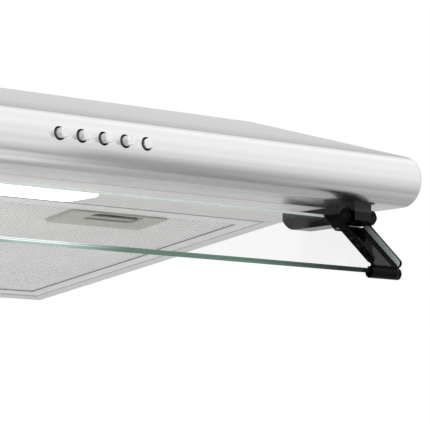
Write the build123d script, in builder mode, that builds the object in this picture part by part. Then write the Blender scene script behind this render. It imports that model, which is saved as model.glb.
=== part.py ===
# Under-cabinet range hood with a tilting glass visor, built as separate pieces.
# +X is right as seen from the front, +Y runs back to the wall and +Z is up.
# Y = 0 is the wall face and Z = 0 is the flat underside around the lamp. Sizes are in mm.
import os
from math import asin, atan2, cos, hypot, pi, radians, sin, tan

from build123d import *

os.makedirs("parts", exist_ok=True)

# Hood outline, in depth behind the lowest point of the front edge
hood_width = 600.0
rear_depth = 475.0
sheet = 1.0
nose_radius = 19.5
nose_depth = -5.5
lip_depth = 34.0
panel_depth = 141.0
top_depth = 174.7
top_height = 89.5
filter_slope = radians(6.77)
flange_width = 13.0
upstand_height = 14.0

# Push buttons and their switch
button_count = 5
button_pitch = 18.3
button_height = 21.0
button_radius = 3.6
button_gap = 1.2
button_stroke = 4.5
button_out = 6.9
stem_radius = 2.5
stem_gap = 0.35

# Lamp
lens_width = 154.0
lens_length = 45.0
lens_depth = 101.5
lens_drop = 3.0
lens_corner = 10.0
lens_gap = 0.3
lens_rim = 3.0
lens_rim_height = 1.5
reflector_height = 37.5
reflector_wall = 0.8
lamp_height = 21.0
lamp_base_radius = 7.0
lamp_glass_radius = 11.0
holder_radius = 12.0
holder_length = 20.0

# Visor, measured along its tilted arms and below their pivot
visor_tilt = radians(42.0)
pivot_depth = 10.0
pivot_height = -8.2
pin_radius = 2.5
pin_gap = 0.05
pin_head = 3.2
pin_head_height = 2.5
ear_radius = 5.8
hinge_inset = 35.5
hinge_width = 17.0
hinge_front = 2.0
hinge_length = 84.0
hinge_split = -5.5
hinge_bottom = -15.0
hinge_bevel = 3.0
hinge_sweep = 15.0
hinge_screw_inset = 11.0
hinge_screw_pitch = 30.0
cheek_gap = 0.7
cheek_width = 2.3
boss_width = 4.3
arm_wall = 2.5
arm_length = 46.0
arm_overhang = 4.0
arm_tip = 3.0
flange_low = 4.5
web_start = 0.5
web_rear = 11.4
web_front = 11.0
web_thickness = 2.5
glass_thickness = 4.0
glass_offset = 14.2
glass_back = -21.0
glass_front = 47.8
glass_tuck = 13.0
glass_notch = -3.0
glass_pad_start = 10.0
glass_pad_length = 12.0
glass_pad_width = 7.0
clamp_radius = 4.5
clamp_wall = 1.2
clamp_drop = 1.1
clamp_reach = 0.5
clamp_past = 1.0
clamp_mouth = 3.0

# Grease filters, measured in their sloping plane from the panel break
filter_inner = 2.5
filter_side = 16.0
filter_front = 2.5
filter_back = 17.35
filter_height = 9.0
filter_border = 15.0
mesh_grip = 6.0
mesh_sheet = 0.8
fold = 1.0
latch_shift = 10.5
latch_width = 92.0
latch_length = 39.5
latch_drop = 1.5
latch_stroke = 6.0
recess_width = 48.0
recess_length = 20.0
recess_edge = 1.0
bolt_width = 20.0
bolt_height = 3.0
slide_gap = 0.4
tab_inset = 50.0
tab_width = 24.0
tab_reach = 9.0
tab_gap = 0.3
tab_height = 2.0
hinge_lead = 3.0
hinge_clear = 0.4

# Fan
fan_x = -54.0
post_height = 16.5
post_radius = 6.0
post_offsets = [(-70.0, -50.0), (80.0, -45.0), (-60.0, 55.0)]
casing_bottom = 14.0
casing_wall = 2.0
scroll_start = 84.0
scroll_growth = 34.0
scroll_gap = 1.6
cutoff_angle = 60.0
plenum_half = 64.0
plenum_lap = 4.0
plenum_gap = 2.0
inlet_radius = 62.0
guard_pitch = 14.0
guard_width = 2.0
wheel_radius = 76.0
blade_inner = 62.0
blade_count = 36
blade_thickness = 1.2
blade_bow = 2.6
blade_lead = 5.0
wheel_bottom = 20.0
wheel_gap = 4.0
bowl_radius = 44.0
shaft_radius = 4.0
shaft_gap = 0.05
motor_radius = 40.0
motor_flange_radius = 54.0
bush_circle = 50.0
bush_radius = 3.6
bush_height = 2.0

# Air outlet
outlet_gap = 2.0
outlet_radius = 60.0
outlet_wall = 2.0
outlet_top = 111.5
outlet_rim = 6.0
flap_radius = 56.4
flap_level = 101.3
flap_thickness = 1.5
flap_pin_radius = 2.0
flap_pin_height = 104.0

# Screws
screw_radius = 2.0
screw_head = 3.8
small_screw = 1.2
small_head = 2.4

# Fixing holes and wiring, from the sides, the rear and the front of the flat top
cabinet_inset = 70.0
cabinet_front = 40.3
cabinet_rear = 40.0
wall_inset = 100.0
wall_height = 55.0
gland_height = 20.0
gland_radius = 8.0
gland_bore = 3.5
gland_rim = 3.0
gland_length = 8.0
terminal_inset = 120.0
terminal_rear = 60.0
box_width = 70.0
box_length = 60.0
box_height = 34.0
lid_height = 2.0
capacitor_inset = 85.0
capacitor_rear = 145.0
capacitor_radius = 16.0
capacitor_length = 60.0

half_width = hood_width / 2
inner_half = half_width - sheet
rear_drop = (rear_depth - panel_depth) * tan(filter_slope)
slope_length = (rear_depth - panel_depth) / cos(filter_slope)
flange_inner = inner_half - flange_width
top_inside = top_height - sheet

filter_outer = half_width - filter_side
filter_rear = slope_length - filter_back
filter_middle = ((filter_inner + filter_outer) / 2, (filter_front + filter_rear) / 2)
latch_center = filter_middle[0] + latch_shift

hinge_middle = half_width - hinge_inset
hinge_inner = hinge_middle - hinge_width / 2
hinge_outer = hinge_middle + hinge_width / 2
hinge_rear = hinge_front + hinge_length
arm_inner = hinge_inner - cheek_gap - cheek_width
arm_outer = hinge_outer + cheek_gap + boss_width + arm_wall

# The outlet stands in front of the wall, the scroll in front of the outlet box.
outlet_depth = rear_depth - outlet_gap - outlet_rim - outlet_radius
plenum_rear = rear_depth - plenum_gap
plenum_front = outlet_depth - outlet_radius + plenum_lap
scroll_quarter = scroll_growth * (90.0 - cutoff_angle) / (360.0 - cutoff_angle)
fan_depth = plenum_front - scroll_start - scroll_quarter - 2 * casing_wall - scroll_gap
casing_top = top_inside - post_height
wheel_top = casing_top - casing_wall - wheel_gap


def back(depth):
    """Return the Y of a point that lies this far behind the front edge."""
    return depth - rear_depth


# The sloping top leaves the nose at a tangent and ends at the front of the flat top.
nose_y = back(nose_depth)
rise = top_height - nose_radius
run = top_depth - nose_depth
top_slope = atan2(rise, run) - asin(nose_radius / hypot(rise, run))
top_edge = (back(top_depth), top_height)


def on_nose(radius):
    """Return the upper tangent point, the foremost point and the lowest point of the nose."""
    upper = (nose_y - radius * sin(top_slope), nose_radius + radius * cos(top_slope))
    front = (nose_y - radius, nose_radius)
    lower = (nose_y, nose_radius - radius)
    return upper, front, lower


nose_upper, nose_front, nose_lower = on_nose(nose_radius)
inner_upper, inner_front, inner_lower = on_nose(nose_radius - sheet)
inner_edge = (top_edge[0], top_height - sheet / cos(top_slope))

filter_plane = Plane(
    origin=(0, back(panel_depth), 0),
    x_dir=(1, 0, 0),
    z_dir=(0, sin(filter_slope), cos(filter_slope)),
)

# Places that more than one piece shares
button_places = [(i - (button_count - 1) / 2) * button_pitch for i in range(button_count)]
hinge_screw_last = hinge_rear - hinge_screw_inset
hinge_screw_depths = (hinge_screw_last - hinge_screw_pitch, hinge_screw_last)
hinge_screw_places = [(s * hinge_middle, back(d)) for s in (-1, 1) for d in hinge_screw_depths]
cabinet_half = half_width - cabinet_inset
cabinet_depths = (top_depth + cabinet_front, rear_depth - cabinet_rear)
cabinet_places = [(s * cabinet_half, back(d)) for s in (-1, 1) for d in cabinet_depths]
post_places = [(fan_x + x, back(fan_depth) + y) for x, y in post_offsets]
bush_places = [
    (fan_x + bush_circle * cos(a), back(fan_depth) + bush_circle * sin(a))
    for a in (pi / 4, 3 * pi / 4, 5 * pi / 4, 7 * pi / 4)
]
rim_radius = outlet_radius + outlet_rim / 2
rim_places = [
    (rim_radius * cos(a), back(outlet_depth) + rim_radius * sin(a))
    for a in (pi / 4, 3 * pi / 4, 5 * pi / 4, 7 * pi / 4)
]
wall_places = [(s * (half_width - wall_inset), wall_height) for s in (-1, 1)]
gland_place = (half_width - wall_inset, gland_height)
terminal_place = (half_width - terminal_inset, -terminal_rear)
capacitor_place = (capacitor_inset - half_width, -capacitor_rear)


def on_arm(along, below):
    """Return Y and Z of a visor point: along its tilted length, and below its pivot line."""
    y = back(pivot_depth) - along * cos(visor_tilt) + below * sin(visor_tilt)
    z = pivot_height - along * sin(visor_tilt) - below * cos(visor_tilt)
    return y, z


# Housing

with BuildPart() as front_panel:
    with BuildSketch(Plane.YZ.offset(-inner_half)):
        with BuildLine():
            Polyline((back(lip_depth), sheet), (back(lip_depth), 0), nose_lower)
            ThreePointArc(nose_lower, nose_front, nose_upper)
            Polyline(nose_upper, top_edge, inner_edge, inner_upper)
            ThreePointArc(inner_upper, inner_front, inner_lower)
            Line(inner_lower, (back(lip_depth), sheet))
        make_face()
    extrude(amount=2 * inner_half)
    with BuildSketch(Plane.XZ.offset(-nose_front[0] + 1)):
        with Locations(*[(x, button_height) for x in button_places]):
            Circle(button_radius + button_gap)
    extrude(amount=-nose_radius / 2, mode=Mode.SUBTRACT)
front_panel.part.label = "front_panel"
export_step(front_panel.part, "parts/front_panel.step")

with BuildPart() as side_panel_right:
    with BuildSketch(Plane.YZ.offset(inner_half)):
        with BuildLine():
            Polyline(
                nose_lower,
                (back(panel_depth), 0),
                (0, -rear_drop),
                (0, top_height),
                top_edge,
                nose_upper,
            )
            ThreePointArc(nose_upper, nose_front, nose_lower)
        make_face()
    extrude(amount=sheet)
    with BuildSketch(filter_plane):
        with Locations((inner_half, sheet / 2)):
            Rectangle(flange_width, slope_length - 2 * sheet, align=(Align.MAX, Align.MIN))
    extrude(amount=sheet)
side_panel_right.part.label = "side_panel_right"
export_step(side_panel_right.part, "parts/side_panel_right.step")

with BuildPart() as side_panel_left:
    mirror(side_panel_right.part, about=Plane.YZ)
side_panel_left.part.label = "side_panel_left"
export_step(side_panel_left.part, "parts/side_panel_left.step")

with BuildPart() as canopy:
    with Locations((0, 0, top_height)):
        Box(2 * inner_half, -top_edge[0], sheet, align=(Align.CENTER, Align.MAX, Align.MAX))
    with Locations((0, 0, top_height)):
        Box(
            2 * inner_half,
            sheet,
            top_height + rear_drop,
            align=(Align.CENTER, Align.MAX, Align.MAX),
        )
    with BuildSketch(filter_plane):
        with Locations((0, filter_rear + hinge_lead + hinge_clear)):
            Rectangle(
                2 * (flange_inner - sheet / 2),
                filter_back - hinge_lead - hinge_clear - sheet / 2,
                align=(Align.CENTER, Align.MIN),
            )
    extrude(amount=sheet)
    with Locations((0, back(outlet_depth), top_height)):
        Hole(outlet_radius, depth=2 * sheet)
    with Locations(*[(x, y, top_height) for x, y in cabinet_places + post_places]):
        Hole(screw_radius + slide_gap, depth=2 * sheet)
    with Locations(*[(x, y, top_height) for x, y in rim_places]):
        Hole(small_screw, depth=2 * sheet)
    with BuildSketch(Plane.XZ):
        with Locations(*wall_places):
            Circle(2 * screw_head / 1.5)
            SlotCenterPoint((0, 0), (0, 4 * screw_radius), 2 * (screw_radius + slide_gap))
        with Locations(gland_place):
            Circle(gland_radius)
    extrude(amount=2 * sheet, both=True, mode=Mode.SUBTRACT)
canopy.part.label = "canopy"
export_step(canopy.part, "parts/canopy.step")

with BuildPart() as lamp_panel:
    with Locations((0, back(panel_depth), 0)):
        Box(
            2 * inner_half,
            panel_depth - lip_depth,
            sheet,
            align=(Align.CENTER, Align.MAX, Align.MIN),
        )
    with Locations((0, back(panel_depth), 0)):
        Box(
            2 * inner_half,
            sheet,
            upstand_height,
            align=(Align.CENTER, Align.MAX, Align.MIN),
        )
    with BuildSketch(Plane.XY):
        with Locations((0, back(lens_depth))):
            RectangleRounded(
                lens_width + 2 * lens_gap,
                lens_length + 2 * lens_gap,
                lens_corner + lens_gap,
            )
        with Locations(*hinge_screw_places):
            Circle(screw_radius)
    extrude(amount=2 * sheet, mode=Mode.SUBTRACT)
lamp_panel.part.label = "lamp_panel"
export_step(lamp_panel.part, "parts/lamp_panel.step")

# Lamp

with BuildPart() as lamp_lens:
    with BuildSketch(Plane.XY.offset(-lens_drop)):
        with Locations((0, back(lens_depth))):
            RectangleRounded(lens_width, lens_length, lens_corner)
    extrude(amount=lens_drop + sheet)
    fillet(lamp_lens.faces().sort_by(Axis.Z)[0].edges(), radius=lens_drop - lens_gap)
    with BuildSketch(Plane.XY.offset(sheet)):
        with Locations((0, back(lens_depth))):
            RectangleRounded(
                lens_width + 2 * lens_rim,
                lens_length + 2 * lens_rim,
                lens_corner + lens_rim,
            )
    extrude(amount=lens_rim_height)
lamp_lens.part.label = "lamp_lens"
export_step(lamp_lens.part, "parts/lamp_lens.step")

reflector_bottom = sheet + lens_rim_height
reflector_half = lens_width / 2 + lens_rim
with BuildPart() as reflector:
    with Locations((0, back(lens_depth), reflector_bottom)):
        Box(
            2 * reflector_half,
            lens_length,
            reflector_height,
            align=(Align.CENTER, Align.CENTER, Align.MIN),
        )
        Box(
            2 * (reflector_half - reflector_wall),
            lens_length - 2 * reflector_wall,
            reflector_height - reflector_wall,
            align=(Align.CENTER, Align.CENTER, Align.MIN),
            mode=Mode.SUBTRACT,
        )
    with BuildSketch(Plane.YZ):
        with Locations((back(lens_depth), lamp_height)):
            Circle(lamp_base_radius)
    extrude(amount=hood_width / 4, both=True, mode=Mode.SUBTRACT)
reflector.part.label = "reflector"
export_step(reflector.part, "parts/reflector.step")

lamp_base_end = reflector_half + 0.7 * holder_length
lamp_neck = reflector_half - holder_length
with BuildPart() as lamp_holder_right:
    with BuildSketch(Plane.YZ.offset(reflector_half)):
        with Locations((back(lens_depth), lamp_height)):
            Circle(holder_radius)
    extrude(amount=holder_length)
    with BuildSketch(Plane.YZ.offset(reflector_half)):
        with Locations((back(lens_depth), lamp_height)):
            Circle(lamp_base_radius)
    extrude(amount=lamp_base_end - reflector_half, mode=Mode.SUBTRACT)
lamp_holder_right.part.label = "lamp_holder_right"
export_step(lamp_holder_right.part, "parts/lamp_holder_right.step")

with BuildPart() as lamp_holder_left:
    mirror(lamp_holder_right.part, about=Plane.YZ)
lamp_holder_left.part.label = "lamp_holder_left"
export_step(lamp_holder_left.part, "parts/lamp_holder_left.step")

with BuildPart() as lamp_right:
    with BuildSketch(Plane.YZ.offset(lamp_neck)):
        with Locations((back(lens_depth), lamp_height)):
            Circle(lamp_base_radius)
    extrude(amount=lamp_base_end - lamp_neck)
    with BuildSketch(Plane.YZ.offset(holder_length / 2)):
        with Locations((back(lens_depth), lamp_height)):
            Circle(lamp_glass_radius)
    extrude(amount=lamp_neck - holder_length / 2)
    fillet(lamp_right.edges().filter_by(GeomType.CIRCLE).sort_by(Axis.X)[0], radius=9.0)
lamp_right.part.label = "lamp_right"
export_step(lamp_right.part, "parts/lamp_right.step")

with BuildPart() as lamp_left:
    mirror(lamp_right.part, about=Plane.YZ)
lamp_left.part.label = "lamp_left"
export_step(lamp_left.part, "parts/lamp_left.step")

# Switch and buttons

cap_front = nose_front[0] - button_out
cap_length = 16.4
switch_front = cap_front + cap_length + button_stroke + sheet
switch_length = 26.0
switch_bottom = 9.0
switch_height = 24.0
switch_width = (button_count + 1) * button_pitch
stem_length = 12.0
with BuildPart() as switch_block:
    with Locations((0, switch_front, switch_bottom)):
        Box(
            switch_width,
            switch_length,
            switch_height,
            align=(Align.CENTER, Align.MIN, Align.MIN),
        )
    feet_rear = switch_front + switch_length
    with Locations(*[(s * switch_width * 0.4, feet_rear, sheet) for s in (-1, 1)]):
        Box(
            button_pitch / 2,
            switch_length / 2,
            switch_bottom - sheet,
            align=(Align.CENTER, Align.MAX, Align.MIN),
        )
    with BuildSketch(Plane.XZ.offset(-switch_front)):
        with Locations(*[(x, button_height) for x in button_places]):
            Circle(stem_radius + stem_gap)
    extrude(amount=-switch_length * 0.8, mode=Mode.SUBTRACT)
switch_block.part.label = "switch_block"
export_step(switch_block.part, "parts/switch_block.step")

with BuildPart() as button_1:
    with BuildSketch(Plane.XZ.offset(-cap_front)):
        with Locations((button_places[0], button_height)):
            Circle(button_radius)
    extrude(amount=-cap_length)
    fillet(button_1.edges().sort_by(Axis.Y)[0], radius=0.8)
    with BuildSketch(Plane.XZ.offset(-cap_front - cap_length)):
        with Locations((button_places[0], button_height)):
            Circle(stem_radius)
    extrude(amount=-stem_length)
button_1.part.label = "button_1"
export_step(button_1.part, "parts/button_1.step")

with BuildPart() as button_2:
    with Locations((button_pitch, 0, 0)):
        add(button_1.part)
button_2.part.label = "button_2"
export_step(button_2.part, "parts/button_2.step")

with BuildPart() as button_3:
    with Locations((2 * button_pitch, 0, 0)):
        add(button_1.part)
button_3.part.label = "button_3"
export_step(button_3.part, "parts/button_3.step")

with BuildPart() as button_4:
    with Locations((3 * button_pitch, 0, 0)):
        add(button_1.part)
button_4.part.label = "button_4"
export_step(button_4.part, "parts/button_4.step")

# The fifth button is pressed in.
with BuildPart() as button_5:
    with Locations((4 * button_pitch, button_stroke, 0)):
        add(button_1.part)
button_5.part.label = "button_5"
export_step(button_5.part, "parts/button_5.step")

# Visor hinges

with BuildPart() as hinge_cap_right:
    with Locations((hinge_inner, back(hinge_front), hinge_split)):
        Box(
            hinge_width,
            hinge_length,
            -hinge_split,
            align=(Align.MIN, Align.MIN, Align.MIN),
        )
    with BuildSketch(Plane.XY):
        with Locations(*hinge_screw_places[2:]):
            Circle(screw_radius)
    extrude(amount=hinge_split, mode=Mode.SUBTRACT)
hinge_cap_right.part.label = "hinge_cap_right"
export_step(hinge_cap_right.part, "parts/hinge_cap_right.step")

with BuildPart() as hinge_cap_left:
    mirror(hinge_cap_right.part, about=Plane.YZ)
hinge_cap_left.part.label = "hinge_cap_left"
export_step(hinge_cap_left.part, "parts/hinge_cap_left.step")

hinge_screw_end = hinge_bottom + 2 * screw_radius
with BuildPart() as hinge_block_right:
    sweep_start = (back(hinge_rear) - hinge_sweep, hinge_bottom)
    sweep_end = (back(hinge_rear), hinge_split - sheet)
    with BuildSketch(Plane.YZ.offset(hinge_inner)):
        with BuildLine():
            Polyline(
                sweep_end,
                (back(hinge_rear), hinge_split),
                (back(hinge_front), hinge_split),
                (back(hinge_front), hinge_bottom + hinge_bevel),
                (back(hinge_front) + hinge_bevel, hinge_bottom),
                sweep_start,
            )
            TangentArc(sweep_start, sweep_end, tangent=(1, 0))
        make_face()
        with Locations((back(pivot_depth), pivot_height)):
            Circle(pin_radius, mode=Mode.SUBTRACT)
    extrude(amount=hinge_width)
    with BuildSketch(Plane.XY.offset(hinge_split)):
        with Locations(*hinge_screw_places[2:]):
            Circle(screw_radius)
    extrude(amount=hinge_screw_end - hinge_split, mode=Mode.SUBTRACT)
hinge_block_right.part.label = "hinge_block_right"
export_step(hinge_block_right.part, "parts/hinge_block_right.step")

with BuildPart() as hinge_block_left:
    mirror(hinge_block_right.part, about=Plane.YZ)
hinge_block_left.part.label = "hinge_block_left"
export_step(hinge_block_left.part, "parts/hinge_block_left.step")

with BuildPart() as hinge_pin_right:
    with BuildSketch(Plane.YZ.offset(arm_inner)):
        with Locations((back(pivot_depth), pivot_height)):
            Circle(pin_radius)
    extrude(amount=arm_outer - arm_inner + slide_gap)
    with BuildSketch(Plane.YZ.offset(arm_outer + slide_gap)):
        with Locations((back(pivot_depth), pivot_height)):
            Circle(pin_head)
    extrude(amount=pin_head_height)
hinge_pin_right.part.label = "hinge_pin_right"
export_step(hinge_pin_right.part, "parts/hinge_pin_right.step")

with BuildPart() as hinge_pin_left:
    mirror(hinge_pin_right.part, about=Plane.YZ)
hinge_pin_left.part.label = "hinge_pin_left"
export_step(hinge_pin_left.part, "parts/hinge_pin_left.step")

with BuildPart() as hinge_screws:
    with Locations(*[(x, y, sheet) for x, y in hinge_screw_places]):
        Cylinder(screw_head, screw_radius, align=(Align.CENTER, Align.CENTER, Align.MIN))
    with Locations(*[(x, y, sheet) for x, y in hinge_screw_places]):
        Cylinder(
            screw_radius,
            sheet - hinge_screw_end,
            align=(Align.CENTER, Align.CENTER, Align.MAX),
        )
hinge_screws.part.label = "hinge_screws"
export_step(hinge_screws.part, "parts/hinge_screws.step")

# Visor

clamp_along = glass_front + clamp_radius / 2
clamp_below = glass_offset + clamp_drop
clamp_start = arm_inner - clamp_reach
glass_half = arm_inner + glass_tuck
outer_start = arm_outer - arm_wall
web_low = web_front - web_thickness
with BuildPart() as visor_arm_right:
    # The inner wall reaches back over the edge of the glass and rests on it.
    with BuildSketch(Plane.YZ.offset(arm_inner)) as inner_wall:
        with BuildLine():
            Polyline(
                on_arm(glass_back + sheet, glass_offset),
                on_arm(-ear_radius, flange_low - sheet),
                on_arm(ear_radius, flange_low),
                on_arm(arm_length, flange_low),
                on_arm(arm_length, web_front),
                on_arm(0, web_rear),
                on_arm(glass_notch, glass_offset),
                close=True,
            )
        make_face()
        fillet(inner_wall.vertices().sort_by(Axis.X)[:2], radius=arm_tip)
        with Locations(on_arm(0, 0)):
            Circle(ear_radius)
            Circle(pin_radius + pin_gap, mode=Mode.SUBTRACT)
    extrude(amount=cheek_width)
    with BuildSketch(Plane.YZ.offset(outer_start)) as outer_wall:
        with BuildLine():
            Polyline(
                on_arm(-ear_radius / 2, flange_low - sheet),
                on_arm(ear_radius, flange_low),
                on_arm(arm_length + arm_overhang, flange_low),
                on_arm(arm_length + arm_overhang, web_front),
                on_arm(0, web_rear),
                close=True,
            )
        make_face()
        fillet(outer_wall.vertices().sort_by(Axis.X)[:2], radius=arm_tip)
        with Locations(on_arm(0, 0)):
            Circle(ear_radius)
            Circle(pin_radius + pin_gap, mode=Mode.SUBTRACT)
    extrude(amount=arm_wall)
    with BuildSketch(Plane.YZ.offset(outer_start)):
        with Locations(on_arm(0, 0)):
            Circle(ear_radius)
            Circle(pin_radius + pin_gap, mode=Mode.SUBTRACT)
    extrude(amount=-boss_width)
    # The web joins the walls, and its front end turns down into the clamp.
    web_side = arm_inner + cheek_width / 2
    with BuildSketch(Plane.YZ.offset(web_side)):
        with BuildLine():
            Polyline(
                on_arm(web_start, web_rear - web_thickness),
                on_arm(web_start, web_rear),
                on_arm(arm_length, web_front),
                on_arm(clamp_along - web_thickness, clamp_below),
                on_arm(clamp_along + web_thickness, clamp_below),
                on_arm(clamp_along, web_low),
                close=True,
            )
        make_face()
    extrude(amount=arm_outer - arm_wall / 2 - web_side)
    with BuildSketch(Plane.YZ.offset(glass_half)):
        with BuildLine():
            Polyline(
                on_arm(glass_pad_start, web_rear - web_thickness / 2),
                on_arm(glass_pad_start, glass_offset),
                on_arm(glass_pad_start + glass_pad_length, glass_offset),
                on_arm(glass_pad_start + glass_pad_length, web_rear - web_thickness / 2),
                close=True,
            )
        make_face()
    extrude(amount=-glass_pad_width)
    with BuildSketch(Plane.YZ.offset(clamp_start)):
        with Locations(on_arm(clamp_along, clamp_below)):
            Circle(clamp_radius)
    extrude(amount=arm_outer + clamp_past - clamp_start)
    with BuildSketch(Plane.YZ.offset(clamp_start)):
        with Locations(on_arm(clamp_along, clamp_below)):
            Circle(clamp_radius - clamp_wall)
    extrude(amount=clamp_mouth, mode=Mode.SUBTRACT)
    with BuildSketch(Plane.YZ.offset(clamp_start)):
        with BuildLine():
            Polyline(
                on_arm(glass_front, glass_offset),
                on_arm(glass_front, glass_offset + glass_thickness),
                on_arm(glass_front - 2 * clamp_radius, glass_offset + glass_thickness),
                on_arm(glass_front - 2 * clamp_radius, glass_offset),
                close=True,
            )
        make_face()
    extrude(amount=glass_half - clamp_start, mode=Mode.SUBTRACT)
visor_arm_right.part.label = "visor_arm_right"
export_step(visor_arm_right.part, "parts/visor_arm_right.step")

with BuildPart() as visor_arm_left:
    mirror(visor_arm_right.part, about=Plane.YZ)
visor_arm_left.part.label = "visor_arm_left"
export_step(visor_arm_left.part, "parts/visor_arm_left.step")

# The rear corners of the glass are cut back to pass inside the hinges.
glass_edge = 0.6
with BuildPart() as visor_glass:
    with BuildSketch(Plane.YZ.offset(-glass_half)):
        with BuildLine():
            Polyline(
                on_arm(glass_back, glass_offset),
                on_arm(glass_front, glass_offset),
                on_arm(glass_front, glass_offset + glass_thickness),
                on_arm(glass_back, glass_offset + glass_thickness),
                close=True,
            )
        make_face()
    extrude(amount=2 * glass_half)
    chamfer(visor_glass.edges().filter_by(Axis.X), length=glass_edge)
    for side in (1, -1):
        with BuildSketch(Plane.YZ.offset(side * (hinge_inner - cheek_gap))):
            with BuildLine():
                Polyline(
                    on_arm(glass_back - sheet, glass_offset - sheet),
                    on_arm(glass_notch, glass_offset - sheet),
                    on_arm(glass_notch, glass_offset + glass_thickness + sheet),
                    on_arm(glass_back - sheet, glass_offset + glass_thickness + sheet),
                    close=True,
                )
            make_face()
        extrude(amount=side * glass_tuck, mode=Mode.SUBTRACT)
visor_glass.part.label = "visor_glass"
export_step(visor_glass.part, "parts/visor_glass.step")

# Grease filters

opening_width = filter_outer - filter_inner - 2 * filter_border
opening_length = filter_rear - filter_front - 2 * filter_border
latch_front = filter_front + filter_border
recess_front = latch_front + recess_edge
recess_corner = 4.0
recess_rim = 0.9
pocket_level = recess_rim - latch_drop
pocket_rear = recess_front + recess_length + latch_stroke + 2 * slide_gap
bolt_level = fold + slide_gap
bolt_tip = 1.3
frame_wall = filter_border - mesh_grip
with BuildPart() as filter_frame_right:
    with BuildSketch(filter_plane):
        with Locations(filter_middle):
            Rectangle(filter_outer - filter_inner, filter_rear - filter_front)
            Rectangle(opening_width, opening_length, mode=Mode.SUBTRACT)
    extrude(amount=filter_height)
    with BuildSketch(filter_plane.offset(fold)):
        with Locations(filter_middle):
            Rectangle(opening_width + 2 * mesh_grip, opening_length + 2 * mesh_grip)
    extrude(amount=filter_height - 2 * fold, mode=Mode.SUBTRACT)
    with BuildSketch(filter_plane.offset(bolt_level - slide_gap)):
        with Locations((latch_center, filter_front)):
            Rectangle(
                bolt_width + 2 * slide_gap,
                frame_wall,
                align=(Align.CENTER, Align.MIN),
            )
    extrude(amount=bolt_height + 2 * slide_gap, mode=Mode.SUBTRACT)
    with BuildSketch(filter_plane.offset(sheet + tab_gap)):
        with Locations(*[(x, filter_rear) for x in (filter_inner + tab_inset, filter_outer - tab_inset)]):
            Rectangle(tab_width, tab_reach, align=(Align.CENTER, Align.MIN))
    extrude(amount=tab_height)
filter_frame_right.part.label = "filter_frame_right"
export_step(filter_frame_right.part, "parts/filter_frame_right.step")

with BuildPart() as filter_frame_left:
    mirror(filter_frame_right.part, about=Plane.YZ)
filter_frame_left.part.label = "filter_frame_left"
export_step(filter_frame_left.part, "parts/filter_frame_left.step")

with BuildPart() as filter_mesh_right:
    with BuildSketch(filter_plane.offset(fold)):
        with Locations(filter_middle):
            Rectangle(opening_width + 2 * mesh_grip, opening_length + 2 * mesh_grip)
    extrude(amount=filter_height - 2 * fold)
    with BuildSketch(filter_plane.offset(fold + mesh_sheet)):
        with Locations(filter_middle):
            Rectangle(opening_width + mesh_grip, opening_length + mesh_grip)
    extrude(amount=filter_height - 2 * fold - 2 * mesh_sheet, mode=Mode.SUBTRACT)
    with BuildSketch(filter_plane.offset(fold)):
        with Locations((latch_center, filter_front)):
            Rectangle(
                bolt_width + 2 * slide_gap,
                pocket_rear - filter_front,
                align=(Align.CENTER, Align.MIN),
            )
    extrude(amount=bolt_height + 2 * slide_gap, mode=Mode.SUBTRACT)
filter_mesh_right.part.label = "filter_mesh_right"
export_step(filter_mesh_right.part, "parts/filter_mesh_right.step")

with BuildPart() as filter_mesh_left:
    mirror(filter_mesh_right.part, about=Plane.YZ)
filter_mesh_left.part.label = "filter_mesh_left"
export_step(filter_mesh_left.part, "parts/filter_mesh_left.step")

with BuildPart() as latch_plate_right:
    with BuildSketch(filter_plane.offset(-latch_drop)):
        with Locations((latch_center, latch_front + latch_length / 2)):
            RectangleRounded(latch_width, latch_length, 3.0)
        with Locations((latch_center, recess_front + recess_length / 2)):
            RectangleRounded(recess_width, recess_length, recess_corner, mode=Mode.SUBTRACT)
    extrude(amount=latch_drop + fold)
    # Behind its rim the recess widens into a pocket for the slider.
    with BuildSketch(filter_plane.offset(pocket_level)):
        with Locations((latch_center, recess_front)):
            Rectangle(
                recess_width,
                pocket_rear - recess_front,
                align=(Align.CENTER, Align.MIN),
            )
    extrude(amount=fold - pocket_level, mode=Mode.SUBTRACT)
latch_plate_right.part.label = "latch_plate_right"
export_step(latch_plate_right.part, "parts/latch_plate_right.step")

with BuildPart() as latch_plate_left:
    mirror(latch_plate_right.part, about=Plane.YZ)
latch_plate_left.part.label = "latch_plate_left"
export_step(latch_plate_left.part, "parts/latch_plate_left.step")

pad_front = recess_front + recess_length / 2
pad_length = pocket_rear - latch_stroke - slide_gap - pad_front
pad_level = pocket_level + slide_gap
with BuildPart() as latch_slider_right:
    with BuildSketch(filter_plane.offset(pad_level)):
        with Locations((latch_center, pad_front)):
            Rectangle(
                recess_width - 2 * slide_gap,
                pad_length,
                align=(Align.CENTER, Align.MIN),
            )
    extrude(amount=fold - slide_gap - pad_level)
    with BuildSketch(filter_plane.offset(bolt_level)):
        with Locations((latch_center, bolt_tip)):
            Rectangle(
                bolt_width,
                pad_front + pad_length - bolt_tip,
                align=(Align.CENTER, Align.MIN),
            )
    extrude(amount=bolt_height)
    with BuildSketch(filter_plane.offset(fold - slide_gap)):
        with Locations((latch_center, pad_front)):
            Rectangle(bolt_width, pad_length, align=(Align.CENTER, Align.MIN))
    extrude(amount=2 * slide_gap)
latch_slider_right.part.label = "latch_slider_right"
export_step(latch_slider_right.part, "parts/latch_slider_right.step")

with BuildPart() as latch_slider_left:
    mirror(latch_slider_right.part, about=Plane.YZ)
latch_slider_left.part.label = "latch_slider_left"
export_step(latch_slider_left.part, "parts/latch_slider_left.step")

# Fan

fan_y = back(fan_depth)


def scroll_point(angle, wall):
    """Return a point of the scroll wall; its radius grows evenly with the angle."""
    share = (angle - cutoff_angle) / (360.0 - cutoff_angle)
    radius = scroll_start + scroll_growth * share + wall
    return fan_x + radius * cos(radians(angle)), fan_y + radius * sin(radians(angle))


scroll_angles = [cutoff_angle + 30.0 * i for i in range(11)]


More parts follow.
